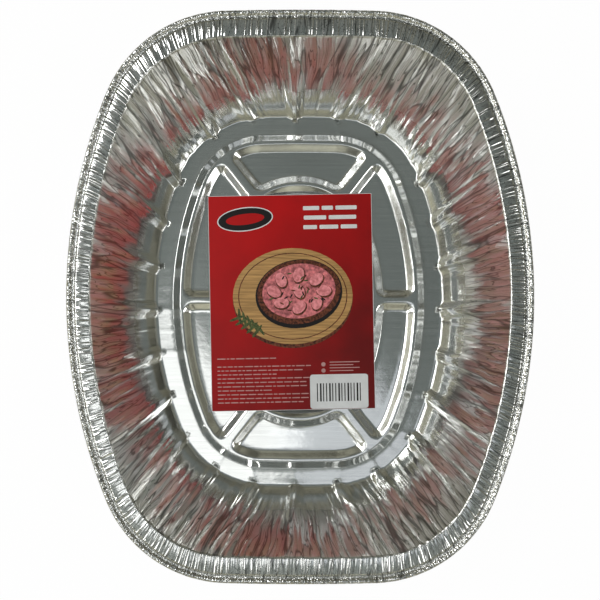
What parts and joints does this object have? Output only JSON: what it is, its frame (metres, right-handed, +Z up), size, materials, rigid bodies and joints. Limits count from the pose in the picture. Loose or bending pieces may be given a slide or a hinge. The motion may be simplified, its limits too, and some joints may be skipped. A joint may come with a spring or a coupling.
{
  "type": "foil roasting pan",
  "caption": "Deep oval roasting pan of thin aluminium foil with gathered walls, crimped rim with rolled edge, ribbed floor and a loose paper card inside.",
  "frame": {"origin": "centre of the pan's overall box on the surface that it stands on", "axes": "+X across the pan, +Y along its longer axis, +Z up"},
  "size_m": [0.33, 0.405, 0.073],
  "materials": {
    "foil": "bright rolled foil",
    "card": "coated card"
  },
  "bodies": {
    "root": {"foil_pan": "foil", "label_card": "card"}
  },
  "joints": []
}
